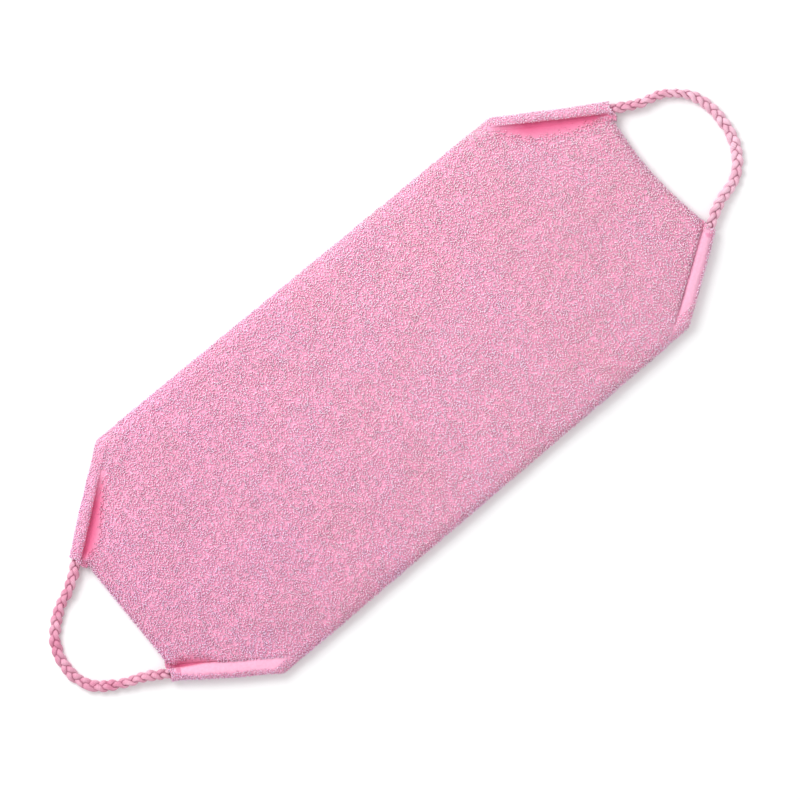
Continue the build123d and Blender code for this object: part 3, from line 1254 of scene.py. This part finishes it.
def set_inputs(modifier, values):
    """Sets a node modifier's inputs, by their names."""
    for item in modifier.node_group.interface.items_tree:
        if item.item_type == "SOCKET" and item.in_out == "INPUT" and item.name in values:
            modifier[item.identifier] = values[item.name]


def stand_pile(name, cloths, lowest=0.0, **sizes):
    """The loops of some cloths, or of one strip of them, as a plain mesh with no part under lowest.
    sizes are the loop_pile inputs, in lower case."""
    base = bmesh.new()
    for cloth in cloths:
        base.from_mesh(cloth.data)
    mesh = bpy.data.meshes.new(name)
    base.to_mesh(mesh)
    base.free()
    piece = bpy.data.objects.new(name, mesh)
    bpy.context.scene.collection.objects.link(piece)
    modifier = piece.modifiers.new("loop_pile", "NODES")
    modifier.node_group = loop_pile
    set_inputs(
        modifier,
        {"From Y": -1.0, "To Y": 1.0, "Yarn": pile_material}
        | {key.replace("_", " ").title(): value for key, value in sizes.items()},
    )
    as_plain_mesh(piece)
    places = np.zeros(len(piece.data.vertices) * 3, np.float32)
    piece.data.vertices.foreach_get("co", places)
    places[2::3] = np.maximum(places[2::3], lowest)
    piece.data.vertices.foreach_set("co", places)
    pile_map(piece.data)
    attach(piece, "pad")
    return piece


def read_values(mesh, name):
    """A float attribute's values, one for each vertex."""
    values = np.zeros(len(mesh.vertices), np.float32)
    mesh.attributes[name].data.foreach_get("value", values)
    return values


def pile_map(mesh):
    """Lays each loop out in a small tile of its own."""
    index = np.zeros(len(mesh.loops), np.int32)
    mesh.loops.foreach_get("vertex_index", index)
    along = read_values(mesh, "lay_along")[index]
    around = read_values(mesh, "lay_round")[index]
    by_face = around.reshape(-1, 4)
    last = by_face.max(axis=1, keepdims=True) > 1 - 1.5 / yarn_sides
    around = np.where(last & (by_face < 0.5 / yarn_sides), 1.0, by_face).ravel()
    tile = np.arange(len(index)) // (4 * loop_segments * yarn_sides)
    across = math.ceil(math.sqrt(tile[-1] + 1))
    row, column = np.divmod(tile, across)
    u = (column + 0.06 + 0.88 * along) / across
    v = (row + 0.06 + 0.88 * around) / across
    layer = mesh.uv_layers.new(name="OFBake")
    layer.data.foreach_set("uv", np.stack([u, v], axis=1).astype(np.float32).ravel())
    for name in ("lay_along", "lay_round"):
        mesh.attributes.remove(mesh.attributes[name])


# Terry loops stand closer and finer than this. These are as coarse as they need to be to show.
pile_sizes = {
    "pitch": 1.1 * mm,
    "loop_width": 1.15 * mm,
    "loop_height": 1.5 * mm,
    "yarn_radius": 0.41 * mm,
}
back_sizes = {**pile_sizes, "pitch": 1.75 * mm, "loop_width": 1.9 * mm, "loop_height": 1.3 * mm}
hem_sizes = {**pile_sizes, "loop_height": 1.0 * mm}
strips = 6
strip_edges = np.linspace(-half_width, half_width, strips + 1)
strip_edges[[0, -1]] = -1.0, 1.0  # the outermost strips take in all of the rounded edges
for number in range(strips):
    reach = {"from_y": float(strip_edges[number]), "to_y": float(strip_edges[number + 1])}
    stand_pile(f"front_pile_{number + 1}", [front_cloth], seed=4, **pile_sizes, **reach)
    stand_pile(
        f"back_pile_{number + 1}", [back_cloth], lowest=floor_gap, seed=5, **back_sizes, **reach
    )
stand_pile("hem_pile", hem_cloths, lowest=floor_gap, seed=6, **hem_sizes)


def finish_cloth(piece, thickness, node):
    """Gives a cloth its thickness, inwards, in place of the CAD node that it stands for."""
    solid = piece.modifiers.new("thickness", "SOLIDIFY")
    solid.thickness = thickness
    solid.offset = -1
    solid.use_quality_normals = True
    as_plain_mesh(piece)
    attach(piece, "pad")
    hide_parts(node)


# The loops stand on the bare cloths, and then each cloth gets its thickness.
for piece, node in ((front_cloth, "front_panel"), (back_cloth, "back_panel")):
    finish_cloth(piece, panel_thickness, node)

for piece, hem in zip(hem_cloths, hems):
    finish_cloth(piece, hem_thickness, f"hem_casing_{hem.name}")

# --------------------------------------------------------------------------------------- bar tacks

tack_from, tack_to = 4.2 * mm, 6.8 * mm  # from the mouth of the hem
tack_thread = 0.2 * mm  # its radius
tack_sweep = math.radians(100)
tack_slant = math.radians(3)


def tack_tree():
    """Threads side by side along a line, each an arc over a hem, as a zigzag bar tack lays them."""
    tree = bpy.data.node_groups.new("bar_tack", "GeometryNodeTree")
    face = tree.interface
    face.new_socket("Geometry", in_out="INPUT", socket_type="NodeSocketGeometry")
    for name in ("Arc Radius", "Sweep", "Thread Radius", "Slant"):
        face.new_socket(name, in_out="INPUT", socket_type="NodeSocketFloat")
    face.new_socket("Thread", in_out="INPUT", socket_type="NodeSocketMaterial")
    face.new_socket("Geometry", in_out="OUTPUT", socket_type="NodeSocketGeometry")
    given = add(tree, "NodeGroupInput").outputs
    half = add(tree, "ShaderNodeMath", {0: given["Sweep"], 1: 0.5}, operation="MULTIPLY")
    start = add(tree, "ShaderNodeMath", {0: math.pi / 2, 1: half.outputs[0]}, operation="SUBTRACT")
    arc = add(
        tree,
        "GeometryNodeCurveArc",
        {
            "Resolution": 14,
            "Radius": given["Arc Radius"],
            "Start Angle": start.outputs[0],
            "Sweep Angle": given["Sweep"],
        },
    )
    section = add(
        tree,
        "GeometryNodeCurvePrimitiveCircle",
        {"Resolution": 6, "Radius": given["Thread Radius"]},
    )
    thread = add(
        tree,
        "GeometryNodeCurveToMesh",
        {"Curve": arc.outputs[0], "Profile Curve": section.outputs[0], "Fill Caps": True},
    )
    number = add(tree, "GeometryNodeInputIndex").outputs[0]
    odd = add(tree, "ShaderNodeMath", {0: number, 1: 2.0}, operation="MODULO")
    side = add(tree, "ShaderNodeMapRange", {"Value": odd.outputs[0], "To Min": -1.0, "To Max": 1.0})
    slant = add(tree, "ShaderNodeMath", {0: side.outputs[0], 1: given["Slant"]}, operation="MULTIPLY")
    turned = add(tree, "ShaderNodeCombineXYZ", {1: slant.outputs[0]})
    laid = add(
        tree,
        "GeometryNodeInstanceOnPoints",
        {"Points": given["Geometry"], "Instance": thread.outputs[0], "Rotation": turned.outputs[0]},
    )
    real = add(tree, "GeometryNodeRealizeInstances", {0: laid.outputs[0]})
    smooth = add(tree, "GeometryNodeSetShadeSmooth", {0: real.outputs[0]})
    sewn = add(
        tree,
        "GeometryNodeSetMaterial",
        {"Geometry": smooth.outputs[0], "Material": given["Thread"]},
    )
    add(tree, "NodeGroupOutput", {0: sewn.outputs[0]})
    return tree


bar_tack = tack_tree()
for hem in hems:
    count = round((tack_to - tack_from) / (1.6 * tack_thread)) + 1
    line = [(0, 0, place) for place in np.linspace(tack_from, tack_to, count)]
    tack = new_piece(f"bar_tack_threads_{hem.name}", line, [], thread_material)
    rows = tack.modifiers.new("bar_tack", "NODES")
    rows.node_group = bar_tack
    set_inputs(
        rows,
        {
            "Arc Radius": float(hem.body(0.5 * (tack_from + tack_to))) + 0.15 * mm,
            "Sweep": tack_sweep,
            "Thread Radius": tack_thread,
            "Slant": tack_slant,
            "Thread": thread_material,
        },
    )
    as_plain_mesh(tack)
    across = Vector((*hem.inward, 0)) * hem.end * -hem.side
    along = Vector((*hem.along, 0))
    up = Vector((0, 0, 1))
    turn = Matrix((across, up, along)).transposed().to_4x4()
    turn.translation = (*hem.mouth, held)
    tack.data.transform(turn)
    tidy_mesh(tack)
    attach(tack, "pad")
    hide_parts(f"bar_tack_{hem.name}")

# Every CAD node that still shows takes the finish of what it is.
finishes = {
    "foam": foam_material,
    "side_seam": thread_material,
    "end_seam": thread_material,
    "hem_stitches": thread_material,
}
for node_name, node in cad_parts.items():
    for start, material in finishes.items():
        if node_name.startswith(start):
            node.data.materials.clear()
            node.data.materials.append(material)
